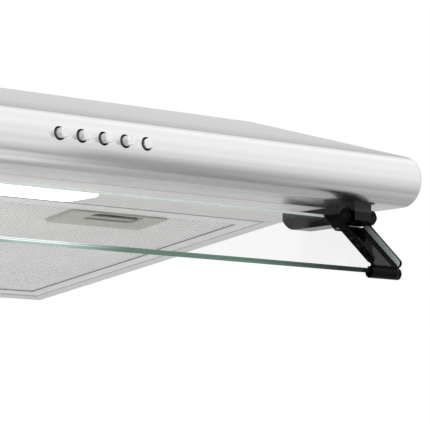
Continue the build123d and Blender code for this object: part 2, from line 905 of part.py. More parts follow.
def casing_outline(wall):
    """Return the scroll's points and the corners of its outlet box, out by the wall."""
    curve = [scroll_point(angle, wall) for angle in scroll_angles]
    right = max(plenum_half + wall, curve[-1][0])
    corners = [
        curve[-1],
        (right, curve[-1][1] + 1.0),
        (right, back(plenum_rear) - casing_wall + wall),
        (-plenum_half - wall, back(plenum_rear) - casing_wall + wall),
        (-plenum_half - wall, back(plenum_front) - wall),
        (curve[0][0] - wall, back(plenum_front) - wall),
        curve[0],
    ]
    return curve, corners


inner_curve, inner_corners = casing_outline(0)
outer_curve, outer_corners = casing_outline(casing_wall)

with BuildPart() as blower_casing:
    with BuildSketch(Plane.XY.offset(casing_bottom)):
        with BuildLine():
            Spline(*outer_curve)
            Polyline(*outer_corners)
        make_face()
    extrude(amount=casing_top - casing_bottom)
    with BuildSketch(Plane.XY.offset(casing_bottom)):
        with BuildLine():
            Spline(*inner_curve)
            Polyline(*inner_corners)
        make_face()
    extrude(amount=casing_top - casing_bottom - casing_wall, mode=Mode.SUBTRACT)
    with Locations((0, back(outlet_depth), casing_top)):
        Hole(outlet_radius - outlet_wall, depth=2 * casing_wall)
    with Locations((fan_x, fan_y, casing_top)):
        Hole(bowl_radius, depth=2 * casing_wall)
    with Locations(*[(x, y, casing_top) for x, y in post_places + bush_places]):
        Hole(screw_radius, depth=2 * casing_wall)
blower_casing.part.label = "blower_casing"
export_step(blower_casing.part, "parts/blower_casing.step")

with BuildPart() as blower_base:
    with BuildSketch(Plane.XY.offset(casing_bottom - casing_wall)):
        with BuildLine():
            Spline(*outer_curve)
            Polyline(*outer_corners)
        make_face()
    extrude(amount=casing_wall)
    with BuildSketch(Plane.XY.offset(casing_bottom)):
        with Locations((fan_x, fan_y)):
            Circle(inlet_radius + casing_wall)
    extrude(amount=2 * casing_wall)
    with Locations((fan_x, fan_y, casing_bottom + 2 * casing_wall)):
        Hole(inlet_radius, depth=4 * casing_wall)
    with BuildSketch(Plane.XY.offset(casing_bottom - casing_wall)):
        with Locations((fan_x, fan_y)):
            for ring in (3, 2, 1):
                Circle(inlet_radius - ring * guard_pitch + guard_width / 2)
                Circle(inlet_radius - ring * guard_pitch - guard_width / 2, mode=Mode.SUBTRACT)
    extrude(amount=casing_wall)
    with BuildSketch(Plane.XY.offset(casing_bottom - casing_wall)):
        with Locations((fan_x, fan_y)):
            with PolarLocations(0, 4):
                Rectangle(inlet_radius + 1, guard_width, align=(Align.MIN, Align.CENTER))
    extrude(amount=casing_wall)
blower_base.part.label = "blower_base"
export_step(blower_base.part, "parts/blower_base.step")

disc_thickness = 2.0
bowl_bottom = 30.0
bowl_wall = 1.5
hub_radius = 9.0
hub_bottom = 23.0

# Each forward-curved blade is an even bow between its two ends.
blade_steps = [i / 5 for i in range(6)]


def blade_side(shift):
    """Return the points of one side of a blade, from its inner to its outer edge."""
    return [
        (
            blade_inner + (wheel_radius - blade_inner) * step,
            shift - 4 * blade_bow * step * (1 - step) + blade_lead * step,
        )
        for step in blade_steps
    ]


blade_outline = blade_side(0) + blade_side(blade_thickness)[::-1]
with BuildPart() as impeller:
    with BuildSketch(Plane.XY.offset(wheel_bottom)):
        with Locations((fan_x, fan_y)):
            Circle(wheel_radius + sheet)
            Circle(blade_inner + 4, mode=Mode.SUBTRACT)
    extrude(amount=disc_thickness)
    with BuildSketch(Plane.XY.offset(wheel_top - disc_thickness)):
        with Locations((fan_x, fan_y)):
            Circle(wheel_radius + sheet)
            Circle(bowl_radius, mode=Mode.SUBTRACT)
    extrude(amount=disc_thickness)
    with BuildSketch(Plane.XY.offset(bowl_bottom)):
        with Locations((fan_x, fan_y)):
            Circle(bowl_radius + bowl_wall)
            Circle(bowl_radius, mode=Mode.SUBTRACT)
    extrude(amount=wheel_top - disc_thickness - bowl_bottom)
    with BuildSketch(Plane.XY.offset(bowl_bottom - disc_thickness)):
        with Locations((fan_x, fan_y)):
            Circle(bowl_radius + bowl_wall)
    extrude(amount=disc_thickness)
    with BuildSketch(Plane.XY.offset(hub_bottom)):
        with Locations((fan_x, fan_y)):
            Circle(hub_radius)
    extrude(amount=bowl_bottom - hub_bottom)
    with BuildSketch(Plane.XY.offset(wheel_bottom + disc_thickness)):
        with Locations((fan_x, fan_y)):
            with PolarLocations(0, blade_count):
                Polygon(*blade_outline, align=None)
    extrude(amount=wheel_top - wheel_bottom - 2 * disc_thickness)
    with Locations((fan_x, fan_y, bowl_bottom)):
        Hole(shaft_radius, depth=bowl_bottom)
impeller.part.label = "impeller"
export_step(impeller.part, "parts/impeller.step")

motor_bottom = bowl_bottom + 4.0
motor_flange_bottom = casing_top + bush_height
shaft_top = motor_bottom + 20.0
with BuildPart() as fan_shaft:
    with Locations((fan_x, fan_y, hub_bottom)):
        Cylinder(
            shaft_radius,
            shaft_top - hub_bottom,
            align=(Align.CENTER, Align.CENTER, Align.MIN),
        )
fan_shaft.part.label = "fan_shaft"
export_step(fan_shaft.part, "parts/fan_shaft.step")

with BuildPart() as motor:
    with Locations((fan_x, fan_y, motor_bottom)):
        Cylinder(
            motor_radius,
            motor_flange_bottom - motor_bottom,
            align=(Align.CENTER, Align.CENTER, Align.MIN),
        )
    with Locations((fan_x, fan_y, motor_flange_bottom)):
        Cylinder(
            motor_flange_radius,
            casing_wall,
            align=(Align.CENTER, Align.CENTER, Align.MIN),
        )
    with Locations((fan_x, fan_y, motor_bottom)):
        Cylinder(
            shaft_radius + shaft_gap,
            shaft_top + 1 - motor_bottom,
            align=(Align.CENTER, Align.CENTER, Align.MIN),
            mode=Mode.SUBTRACT,
        )
    with Locations(*[(x, y, motor_flange_bottom + casing_wall) for x, y in bush_places]):
        Hole(screw_radius, depth=2 * casing_wall)
motor.part.label = "motor"
export_step(motor.part, "parts/motor.step")

with BuildPart() as motor_bushes:
    with Locations(*[(x, y, casing_top) for x, y in bush_places]):
        Cylinder(bush_radius, bush_height, align=(Align.CENTER, Align.CENTER, Align.MIN))
        Cylinder(
            screw_radius,
            bush_height,
            align=(Align.CENTER, Align.CENTER, Align.MIN),
            mode=Mode.SUBTRACT,
        )
motor_bushes.part.label = "motor_bushes"
export_step(motor_bushes.part, "parts/motor_bushes.step")

with BuildPart() as motor_screws:
    with Locations(*[(x, y, motor_flange_bottom + casing_wall) for x, y in bush_places]):
        Cylinder(screw_head, screw_radius, align=(Align.CENTER, Align.CENTER, Align.MIN))
    with Locations(*[(x, y, motor_flange_bottom + casing_wall) for x, y in bush_places]):
        Cylinder(
            screw_radius,
            casing_wall + bush_height + casing_wall,
            align=(Align.CENTER, Align.CENTER, Align.MAX),
        )
motor_screws.part.label = "motor_screws"
export_step(motor_screws.part, "parts/motor_screws.step")

with BuildPart() as blower_posts:
    with Locations(*[(x, y, casing_top) for x, y in post_places]):
        Cylinder(
            post_radius,
            post_height,
            align=(Align.CENTER, Align.CENTER, Align.MIN),
        )
        Cylinder(
            screw_radius,
            post_height,
            align=(Align.CENTER, Align.CENTER, Align.MIN),
            mode=Mode.SUBTRACT,
        )
blower_posts.part.label = "blower_posts"
export_step(blower_posts.part, "parts/blower_posts.step")

with BuildPart() as post_screws:
    with Locations(*[(x, y, top_height) for x, y in post_places]):
        Cylinder(screw_head, screw_radius, align=(Align.CENTER, Align.CENTER, Align.MIN))
    with Locations(*[(x, y, top_height) for x, y in post_places]):
        Cylinder(
            screw_radius,
            top_height - casing_top + casing_wall,
            align=(Align.CENTER, Align.CENTER, Align.MAX),
        )
post_screws.part.label = "post_screws"
export_step(post_screws.part, "parts/post_screws.step")

# Air outlet

outlet_y = back(outlet_depth)
ledge = 2.5
with BuildPart() as outlet_collar:
    with Locations((0, outlet_y, casing_top)):
        Cylinder(
            outlet_radius,
            outlet_top - casing_top,
            align=(Align.CENTER, Align.CENTER, Align.MIN),
        )
    with Locations((0, outlet_y, top_height)):
        Cylinder(
            outlet_radius + outlet_rim,
            outlet_wall,
            align=(Align.CENTER, Align.CENTER, Align.MIN),
        )
    with Locations((0, outlet_y, casing_top)):
        Cylinder(
            outlet_radius - outlet_wall,
            outlet_top - casing_top,
            align=(Align.CENTER, Align.CENTER, Align.MIN),
            mode=Mode.SUBTRACT,
        )
    with BuildSketch(Plane.XY.offset(flap_level - tab_gap - ledge)):
        with Locations((0, outlet_y)):
            Circle(outlet_radius - outlet_wall / 2)
            Circle(outlet_radius - outlet_wall - ledge, mode=Mode.SUBTRACT)
    extrude(amount=ledge)
    with BuildSketch(Plane.YZ):
        with Locations((outlet_y, flap_pin_height)):
            Circle(flap_pin_radius)
    extrude(amount=outlet_radius + 1, both=True, mode=Mode.SUBTRACT)
    with Locations(*[(x, y, top_height + outlet_wall) for x, y in rim_places]):
        Hole(small_screw, depth=outlet_wall)
outlet_collar.part.label = "outlet_collar"
export_step(outlet_collar.part, "parts/outlet_collar.step")

with BuildPart() as rim_screws:
    with Locations(*[(x, y, top_height + outlet_wall) for x, y in rim_places]):
        Cylinder(small_head, screw_radius, align=(Align.CENTER, Align.CENTER, Align.MIN))
    with Locations(*[(x, y, top_height + outlet_wall) for x, y in rim_places]):
        Cylinder(
            small_screw,
            outlet_wall + 3 * sheet,
            align=(Align.CENTER, Align.CENTER, Align.MAX),
        )
rim_screws.part.label = "rim_screws"
export_step(rim_screws.part, "parts/rim_screws.step")

with BuildPart() as flap_pin:
    with BuildSketch(Plane.YZ):
        with Locations((outlet_y, flap_pin_height)):
            Circle(flap_pin_radius)
    extrude(amount=outlet_radius - slide_gap, both=True)
flap_pin.part.label = "flap_pin"
export_step(flap_pin.part, "parts/flap_pin.step")

knuckle_radius = flap_pin_radius + 1.8
knuckle_length = 14.0
knuckle_gap = 0.5
flap_clear = knuckle_radius + knuckle_gap
with BuildPart() as flap_front:
    with BuildSketch(Plane.XY.offset(flap_level)):
        with Locations((0, outlet_y)):
            Circle(flap_radius)
        with Locations((0, outlet_y - flap_clear)):
            Rectangle(
                3 * flap_radius,
                2 * flap_radius,
                align=(Align.CENTER, Align.MIN),
                mode=Mode.SUBTRACT,
            )
    extrude(amount=flap_thickness)
    for start in (-knuckle_length * 2 - knuckle_gap, knuckle_gap):
        with BuildSketch(Plane.YZ.offset(start)):
            with Locations((outlet_y, flap_pin_height)):
                Circle(knuckle_radius)
            with Locations((outlet_y, flap_level)):
                Rectangle(2 * flap_clear, flap_thickness, align=(Align.MAX, Align.MIN))
        extrude(amount=knuckle_length - knuckle_gap)
    with BuildSketch(Plane.YZ):
        with Locations((outlet_y, flap_pin_height)):
            Circle(flap_pin_radius + pin_gap)
    extrude(amount=flap_radius, both=True, mode=Mode.SUBTRACT)
flap_front.part.label = "flap_front"
export_step(flap_front.part, "parts/flap_front.step")

with BuildPart() as flap_rear:
    with Locations((0, 2 * outlet_y, 0)):
        add(flap_front.part.rotate(Axis.Z, 180))
flap_rear.part.label = "flap_rear"
export_step(flap_rear.part, "parts/flap_rear.step")

# Wiring

with BuildPart() as capacitor:
    with BuildSketch(Plane.YZ.offset(capacitor_place[0] - capacitor_length / 2)):
        with Locations((capacitor_place[1], top_inside - capacitor_radius)):
            Circle(capacitor_radius)
    extrude(amount=capacitor_length)
capacitor.part.label = "capacitor"
export_step(capacitor.part, "parts/capacitor.step")

with BuildPart() as terminal_box:
    with Locations((*terminal_place, top_inside)):
        Box(box_width, box_length, box_height, align=(Align.CENTER, Align.CENTER, Align.MAX))
    with Locations((*terminal_place, top_inside - lid_height)):
        Box(
            box_width - 2 * lid_height,
            box_length - 2 * lid_height,
            box_height,
            align=(Align.CENTER, Align.CENTER, Align.MAX),
            mode=Mode.SUBTRACT,
        )
terminal_box.part.label = "terminal_box"
export_step(terminal_box.part, "parts/terminal_box.step")

with BuildPart() as terminal_lid:
    with Locations((*terminal_place, top_inside - box_height)):
        Box(box_width, box_length, lid_height, align=(Align.CENTER, Align.CENTER, Align.MAX))
terminal_lid.part.label = "terminal_lid"
export_step(terminal_lid.part, "parts/terminal_lid.step")

with BuildPart() as cable_gland:
    with BuildSketch(Plane.XZ):
        with Locations(gland_place):
            Circle(gland_radius)
    extrude(amount=sheet)
    with BuildSketch(Plane.XZ.offset(sheet)):
        with Locations(gland_place):
            Circle(gland_radius + gland_rim)
    extrude(amount=gland_length)
    with BuildSketch(Plane.XZ):
        with Locations(gland_place):
            Circle(gland_bore)
    extrude(amount=gland_length + sheet, mode=Mode.SUBTRACT)
cable_gland.part.label = "cable_gland"
export_step(cable_gland.part, "parts/cable_gland.step")
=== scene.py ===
# %% [markdown]
# # A slim range hood for under a wall cabinet
# The hood has a rounded steel front with five push buttons, a lamp behind a white lens,
# two grease filters and a clear visor on black hinges. Its solids come measured and
# jointed from the packed model, so this lesson adds what solids lack: finishes, the
# woven filter metal, cross-slotted screws and real glass.

# %% Load the packed hood
from math import cos, radians

import bmesh
import bpy
from mathutils import Euler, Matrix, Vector


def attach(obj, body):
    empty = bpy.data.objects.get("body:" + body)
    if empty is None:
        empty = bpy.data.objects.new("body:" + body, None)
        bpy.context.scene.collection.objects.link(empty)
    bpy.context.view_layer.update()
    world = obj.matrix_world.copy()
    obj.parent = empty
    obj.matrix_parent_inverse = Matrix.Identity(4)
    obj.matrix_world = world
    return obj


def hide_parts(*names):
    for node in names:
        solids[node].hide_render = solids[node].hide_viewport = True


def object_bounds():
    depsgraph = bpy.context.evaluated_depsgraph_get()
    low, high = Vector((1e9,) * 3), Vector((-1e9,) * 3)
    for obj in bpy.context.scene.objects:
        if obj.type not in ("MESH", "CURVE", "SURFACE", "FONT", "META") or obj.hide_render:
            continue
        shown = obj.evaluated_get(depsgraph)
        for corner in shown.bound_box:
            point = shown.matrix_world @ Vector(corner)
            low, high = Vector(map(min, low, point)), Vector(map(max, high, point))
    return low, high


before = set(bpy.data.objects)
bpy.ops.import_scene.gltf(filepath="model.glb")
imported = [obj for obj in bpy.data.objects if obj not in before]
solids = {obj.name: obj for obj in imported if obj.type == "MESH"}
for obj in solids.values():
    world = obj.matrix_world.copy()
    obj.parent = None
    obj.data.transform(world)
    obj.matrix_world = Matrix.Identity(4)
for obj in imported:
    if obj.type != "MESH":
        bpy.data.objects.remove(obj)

solid_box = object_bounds()
scene = bpy.context.scene

# %% [markdown]
# ## Camera
# The photograph looks up at the hood from below its left front corner, through a long
# lens. A camera can be placed by eye, but here its place and angles come from a fit to
# edges and points of the hood, so that the picture can be laid over the photograph.

# %% Set up the camera
camera_place = (-0.889, -1.692, -0.213)
degrees_up = 6.99
degrees_right = 39.59
camera_data = bpy.data.cameras.new("camera")
camera_data.sensor_width = 36.0
camera_data.lens = 186.8
camera_data.clip_end = 60.0
camera = bpy.data.objects.new("camera", camera_data)
camera.location = camera_place
camera.rotation_euler = (radians(90 + degrees_up), 0.0, radians(-degrees_right))
scene.collection.objects.link(camera)
scene.camera = camera
print("camera at", camera_place)

# %% [markdown]
# ## Node helper
# The room, the finishes and the repeated pieces are all trees of nodes. Adding, setting
# and joining each node by hand takes many lines, so a small helper does it in one, and
# the later cells read as what they make.


# %% Define the node helper
class Wiring:
    """Short ways to add nodes to a tree."""

    def __init__(self, tree):
        self.tree = tree

    def add(self, kind, **sockets):
        """Add a node and join or set its inputs by name."""
        node = self.tree.nodes.new(kind)
        for label, value in sockets.items():
            self.feed(node.inputs[label.replace("_", " ")], value)
        return node

    def feed(self, socket, value):
        """Join an output to an input, or set the input."""
        if isinstance(value, bpy.types.NodeSocket):
            self.tree.links.new(value, socket)
        else:
            socket.default_value = value

    def sums(self, kind, operation, first, second):
        """Return the outputs of a node that does one sum."""
        node = self.tree.nodes.new(kind)
        node.operation = operation
        self.feed(node.inputs[0], first)
        self.feed(node.inputs[1], second)
        return node.outputs

    def math(self, operation, first, second=0.0):
        """Return the result of one sum of numbers."""
        return self.sums("ShaderNodeMath", operation, first, second)["Value"]

    def vector_math(self, operation, first, second=(0.0, 0.0, 0.0)):
        """Return the outputs of one sum of vectors."""
        return self.sums("ShaderNodeVectorMath", operation, first, second)

    def vector(self, x=0.0, y=0.0, z=0.0):
        """Return a vector of three parts."""
        return self.add("ShaderNodeCombineXYZ", X=x, Y=y, Z=z).outputs["Vector"]

    def apart(self, vector):
        """Return the parts of a vector: X, Y and Z."""
        return self.add("ShaderNodeSeparateXYZ", Vector=vector).outputs


print("node helper:", [name for name in vars(Wiring) if not name.startswith("_")])

# %% [markdown]
# ## Room
# Bright steel shows the room more than it shows itself. The photograph's front is light
# above its middle and grey below. A picture of a kitchen could be wrapped round the
# scene, but a few fades are easier to steer: the room is pale above, greyer towards the
# floor, and lighter in front of the hood than behind it.

# %% Fade the room's light
scene.view_settings.view_transform = "Standard"
room = bpy.data.worlds.new("room")
room.use_nodes = True
room.node_tree.nodes.clear()
scene.world = room
in_room = Wiring(room.node_tree)
direction = in_room.add("ShaderNodeTexCoord").outputs["Generated"]


def room_fade(along, low, high, shape="SMOOTHSTEP"):
    """Return a fade of light along a direction, from a low to a high (place, level)."""
    reach = in_room.vector_math("DOT_PRODUCT", direction, along)["Value"]
    fade = in_room.add(
        "ShaderNodeMapRange", Value=reach,
        From_Min=low[0], To_Min=low[1], From_Max=high[0], To_Max=high[1],
    )
    fade.interpolation_type = shape
    return fade.outputs["Result"]


upwards = (0.0, 0.15, 1.0)
forwards = (0.0, -1.0, 0.35)
above_floor = room_fade(upwards, (-0.82, 0.31), (-0.27, 0.77))
near_ceiling = room_fade(upwards, (-0.35, 0.0), (0.8, 0.23), "LINEAR")
in_front = room_fade(forwards, (-0.5, 0.8), (0.12, 1.42))
room_light = in_room.math("MULTIPLY", in_room.math("ADD", above_floor, near_ceiling), in_front)
print("room light:", len(room.node_tree.nodes), "nodes")

# %% [markdown]
# The photograph's background is plain white. More light would wash out the hood, so
# Light Path tells what looks at the room: the camera sees white, straight on or through
# the glass, and all else sees the fades.

# %% Keep the background white
white = (1.0, 1.0, 1.0, 1.0)
ray = in_room.add("ShaderNodeLightPath").outputs
not_mirrored = in_room.math("LESS_THAN", ray["Glossy Depth"], 0.5)
through_glass = in_room.math("MULTIPLY", ray["Is Transmission Ray"], not_mirrored)
seen = in_room.math("MAXIMUM", ray["Is Camera Ray"], through_glass)
level = in_room.add("ShaderNodeMix", Factor=seen, A=room_light, B=1.0).outputs["Result"]
background = in_room.add("ShaderNodeBackground", Color=white, Strength=level)
in_room.add("ShaderNodeOutputWorld", Surface=background.outputs["Background"])
print("room:", len(room.node_tree.nodes), "nodes")

# %% [markdown]
# ## Lamps
# One wide soft lamp stands in front and above, and one lies low on the left and lifts the
# underside. A lamp's outline would cut a hard patch into the steel, so neither shows in
# it. What the steel shows are three glows: a wide one below, which lights the underside
# too, a small one close to the front for the gleam at its lower left, and one off to the
# right for its far end. The last two could light the hood as well, but they are there
# for the gleam alone, so only mirroring surfaces see them.


# %% Add the lamps
def soft_lamp(name, place, target, size, power):
    """Add a wide lamp that faces a target."""
    data = bpy.data.lights.new(name, "AREA")
    data.shape = "RECTANGLE"
    data.size, data.size_y = size
    data.energy = power
    lamp = bpy.data.objects.new(name, data)
    lamp.location = place
    aim = Vector(target) - Vector(place)
    lamp.rotation_euler = aim.to_track_quat("-Z", "Y").to_euler()
    lamp.visible_camera = False
    scene.collection.objects.link(lamp)
    print(name, "gives", power, "watts")
    return lamp


hood_middle = (0.0, -0.25, 0.02)
front_lamp = soft_lamp("front_lamp", (1.0, -1.9, 1.3), hood_middle, (2.6, 1.2), 6.0)
low_lamp = soft_lamp("low_lamp", (-0.75, -0.55, -0.85), hood_middle, (1.6, 1.6), 8.6)
low_glow = soft_lamp("low_glow", (-0.15, -0.32, -1.0), (-0.15, -0.32, 0.0), (1.7, 1.14), 4.6)
side_glow = soft_lamp(
    "side_glow", (-0.09, -0.645, -0.12), (-0.09, -0.49, 0.035), (0.41, 0.15), 0.075
)
end_glow = soft_lamp("end_glow", (1.55, -0.45, -1.0), (1.55, -0.45, 0.0), (0.9, 1.2), 0.9)
for lamp in (front_lamp, low_lamp):
    lamp.visible_glossy = False
for glow in (side_glow, end_glow):
    glow.visible_diffuse = False
    glow.visible_transmission = False

# %% [markdown]
# ## Floor
# The hood hangs high over a pale floor. A floor close below would hide it from low
# viewpoints, so this one lies far down. It is pale to the camera and greyer to all else,
# as a floor beyond the lamps' reach is.

# %% Add the floor
floor_half = 13.0
floor_level = -3.2
pale_floor, grey_floor = 0.88, 0.42
floor_corners = [
    (floor_half * x, floor_half * y, floor_level) for x, y in ((-1, -1), (1, -1), (1, 1), (-1, 1))
]
floor_mesh = bpy.data.meshes.new("floor")
floor_mesh.from_pydata(floor_corners, [], [(0, 1, 2, 3)])
floor = bpy.data.objects.new("floor", floor_mesh)
scene.collection.objects.link(floor)
floor_paint = bpy.data.materials.new("floor_paint")
floor_paint.use_nodes = True
in_floor = Wiring(floor_paint.node_tree)
floor_ray = in_floor.add("ShaderNodeLightPath").outputs["Is Camera Ray"]
floor_tone = in_floor.add("ShaderNodeMix", Factor=floor_ray, A=grey_floor, B=pale_floor)
floor_shader = floor_paint.node_tree.nodes["Principled BSDF"]
in_floor.feed(floor_shader.inputs["Base Color"], floor_tone.outputs["Result"])
in_floor.feed(floor_shader.inputs["Roughness"], 0.9)
floor_mesh.materials.append(floor_paint)
floor.visible_glossy = False
print("floor at", floor_level)

# %% [markdown]
# ## Finishes
# Real surfaces are never one even colour. Each finish here is made of nodes that read the
# piece's own coordinates: a noise becomes shades, shine or small bumps, so the detail
# keeps its size in metres from any side. Painted pictures could do it too, but they would
# need unwrapped surfaces and a fixed resolution.

# %% Define the finish helper
# Most of a soft noise lies between these two values.
noise_low, noise_high = 0.3, 0.7


def shade(red, green, blue):
    """Return a colour, given as it looks on a screen from 0 to 255, as light."""
    values = []
    for part in (red, green, blue):
        part = part / 255.0
        values.append(part / 12.92 if part <= 0.04045 else ((part + 0.055) / 1.055) ** 2.4)
    return (*values, 1.0)


class Finish:
    """A node material in the making."""

    def __init__(self, name, metallic=0.0, roughness=0.5):
        self.material = bpy.data.materials.new(name)
        self.material.use_nodes = True
        self.wiring = Wiring(self.material.node_tree)
        self.shader = self.material.node_tree.nodes["Principled BSDF"]
        self.place = self.wiring.add("ShaderNodeTexCoord").outputs["Object"]
        self.give("Metallic", metallic)
        self.give("Roughness", roughness)

    def give(self, label, value):
        """Set or join one of the shader's own inputs."""
        self.wiring.feed(self.shader.inputs[label], value)

    def sides(self):
        """Return the piece's own coordinates: X, Y and Z."""
        return self.wiring.apart(self.place)

    def mapped(self, stretch):
        """Return the piece's own coordinates, scaled on all axes alike or on each."""
        scale = stretch if isinstance(stretch, tuple) else (stretch, stretch, stretch)
        return self.wiring.add("ShaderNodeMapping", Vector=self.place, Scale=scale).outputs["Vector"]

    def texture(self, kind, stretch, **sockets):
        """Return the outputs of a texture; stretch is its grains per metre."""
        vector = self.mapped(stretch)
        return self.wiring.add(kind, Vector=vector, Scale=1.0, **sockets).outputs

    def noise(self, stretch, detail=3.0):
        """Return a soft noise."""
        return self.texture("ShaderNodeTexNoise", stretch, Detail=detail)["Fac"]

    def cells(self, stretch):
        """Return flat patches of chance tone, as zinc crystals have."""
        return self.texture("ShaderNodeTexVoronoi", stretch)["Color"]

    def waves(self, stretch):
        """Return even ribs across the X axis."""
        return self.texture("ShaderNodeTexWave", stretch)["Fac"]

    def marks(self, factor, colours):
        """Colour the surface by marks: (place, colour) from the lowest place to the highest."""
        ramp = self.wiring.add("ShaderNodeValToRGB", Fac=factor)
        stops = ramp.color_ramp.elements
        while len(stops) < len(colours):
            stops.new(1.0)
        for stop, (place, colour) in zip(stops, colours):
            stop.position = place
            stop.color = colour
        self.give("Base Color", ramp.outputs["Color"])

    def tones(self, factor, dark, light):
        """Colour the surface between two shades by a noise."""
        self.marks(factor, [(noise_low, dark), (noise_high, light)])

    def gloss(self, factor, low, high):
        """Vary the roughness between two values by a noise."""
        span = self.wiring.add(
            "ShaderNodeMapRange", Value=factor,
            From_Min=noise_low, From_Max=noise_high, To_Min=low, To_Max=high,
        )
        self.give("Roughness", span.outputs["Result"])

    def bumps(self, factor, depth, strength):
        """Raise the surface by a noise; depth is in metres."""
        bump = self.wiring.add("ShaderNodeBump", Height=factor, Strength=strength, Distance=depth)
        self.give("Normal", bump.outputs["Normal"])


print("half of a screen's white is", round(shade(128, 128, 128)[0], 3), "of its light")


# %% Define how solids are dressed
def dress(finish, *names):
    """Give a finish to solids of the packed model."""
    for name in names:
        for holder in solids[name].material_slots:
            holder.material = finish.material
    print(finish.material.name, "on", len(names), "solids")


def both(*names):
    """Return the names of right and left solids."""
    return [f"{name}_{side}" for name in names for side in ("right", "left")]


print("a pair of solids:", both("side_panel"))

# %% [markdown]
# ## Steel front
# The front is one bent sheet of stainless steel, brushed along its length. Scratches could
# be modelled, but there are far too many. Noise that is stretched along X gives them:
# broad streaks change the tone, finer ones the shine, and the finest tilt the surface a
# little, so that reflections smear across the lines. The tone also follows the way up the
# slope: it is painted darkest along the bend where the round front meets the slope and
# lighter further up, a painted shade and reflection of that crease.

# %% Finish the steel front
bend_place = -0.4915
bend_height = 0.03
slope_scale = 5.0
streak_share = 0.02
brushed_steel = Finish("brushed_steel", metallic=1.0)
on_steel = brushed_steel.wiring.math
steel_place = brushed_steel.sides()
behind_bend = on_steel("MULTIPLY", on_steel("SUBTRACT", steel_place["Y"], bend_place), slope_scale)
above_bend = on_steel("GREATER_THAN", steel_place["Z"], bend_height)
painted_shade_up_slope = on_steel("MAXIMUM", on_steel("MULTIPLY", behind_bend, above_bend), 0.0)
streaks = on_steel("MULTIPLY", brushed_steel.noise((0.7, 190.0, 190.0)), streak_share)
# Painted shade: darkest just behind the bend, lighter up the slope; the streaks are the steel's own
# grain.
brushed_steel.marks(on_steel("ADD", painted_shade_up_slope, streaks), [
    (0.0, shade(224, 223, 224)), (0.02, shade(194, 193, 194)), (0.035, shade(173, 172, 173)),
    (0.12, shade(188, 187, 188)), (0.35, shade(213, 212, 213)), (0.95, shade(222, 221, 222)),
])
brushed_steel.gloss(brushed_steel.noise((1.2, 300.0, 300.0), 2.0), 0.21, 0.24)
brushed_steel.bumps(brushed_steel.noise((2.5, 900.0, 900.0), 2.0), 0.00001, 0.04)
dress(brushed_steel, "front_panel")

# %% [markdown]
# ## Painted sheet
# The sides, the canopy and the lamp panel are sheet steel with a baked grey paint. Such
# paint has a fine orange-peel skin and hardly any change of tone. Real bumps that small
# would take millions of faces, so they are bumps of the finish alone.

# %% Finish the painted sheet
grey_paint = Finish("grey_paint")
grey_paint.tones(grey_paint.noise(9.0), shade(190, 188, 187), shade(196, 194, 193))
grey_paint.gloss(grey_paint.noise(40.0), 0.38, 0.48)
grey_paint.bumps(grey_paint.noise(700.0, 1.0), 0.00004, 0.2)
dress(grey_paint, *both("side_panel"), "canopy", "lamp_panel")

# %% [markdown]
# ## Lamp
# The lens is a milky plastic with fine ribs, lit from behind. Light could be traced from
# the lamps through it, which is slow and noisy, so the lens gives off an even light
# itself. The reflector is bare zinc-coated sheet, as are the fan's posts, and its
# crystals show as patches, which Voronoi cells are good at. The lamps are frosted glass
# in white holders. The capacitor and the terminal box are of the same white plastic.

# %% Finish the lens and its lamps
milky_lens = Finish("milky_lens", roughness=0.35)
milky_lens.tones(milky_lens.noise(30.0), shade(246, 245, 240), shade(252, 251, 247))
milky_lens.give("Emission Color", (1.0, 0.985, 0.95, 1.0))
milky_lens.give("Emission Strength", 1.5)
milky_lens.bumps(milky_lens.waves((320.0, 1.0, 1.0)), 0.00025, 0.4)
dress(milky_lens, "lamp_lens")

frosted_bulb = Finish("frosted_bulb", roughness=0.3)
frosted_bulb.tones(frosted_bulb.noise(60.0), shade(236, 234, 228), shade(248, 247, 243))
frosted_bulb.give("Emission Color", (1.0, 0.96, 0.88, 1.0))
frosted_bulb.give("Emission Strength", 1.0)
frosted_bulb.bumps(frosted_bulb.noise(900.0, 1.0), 0.00003, 0.3)
dress(frosted_bulb, *both("lamp"))

# %% Finish the reflector and the white plastic
zinc_sheet = Finish("zinc_sheet", metallic=0.9)
zinc_sheet.tones(zinc_sheet.cells(160.0), shade(176, 179, 182), shade(208, 210, 212))
zinc_sheet.gloss(zinc_sheet.noise(120.0), 0.3, 0.5)
dress(zinc_sheet, "reflector", "blower_posts")

white_moulding = Finish("white_moulding")
white_moulding.tones(white_moulding.noise(25.0), shade(226, 225, 220), shade(236, 235, 231))
white_moulding.gloss(white_moulding.noise(200.0), 0.38, 0.55)
white_moulding.bumps(white_moulding.noise(1200.0, 1.0), 0.00003, 0.3)
dress(white_moulding, *both("lamp_holder"), "capacitor", "terminal_box", "terminal_lid")

# %% [markdown]
# ## Buttons
# The buttons are bright metal caps, turned on a lathe. A Wave texture could draw a
# lathe's rings round each cap, but on caps this small they run together, so a fine noise
# that is stretched along the stroke stands for them.

# %% Finish the buttons
turned_caps = Finish("turned_caps", metallic=0.85)
turned_caps.tones(turned_caps.noise((700.0, 60.0, 700.0)), shade(206, 207, 207), shade(226, 226, 225))
turned_caps.gloss(turned_caps.noise(300.0), 0.2, 0.34)
turned_caps.bumps(turned_caps.noise((1500.0, 200.0, 1500.0), 1.0), 0.00001, 0.3)
dress(turned_caps, *[f"button_{number}" for number in range(1, 6)])

# %% [markdown]
# ## Black plastics
# The hinge blocks and pins are glossy black mouldings, and their caps and the switch block
# are a satin black. One black could do for all, but they mirror the room differently, so
# each has a shine of its own.

# %% Finish the hinges
gloss_black = Finish("gloss_black")
gloss_black.tones(gloss_black.noise(35.0), shade(4, 4, 6), shade(11, 11, 13))
gloss_black.gloss(gloss_black.noise(90.0), 0.05, 0.12)
gloss_black.bumps(gloss_black.noise(150.0, 1.0), 0.00002, 0.06)
gloss_black.give("Specular IOR Level", 0.14)
dress(gloss_black, *both("hinge_block", "hinge_pin"))

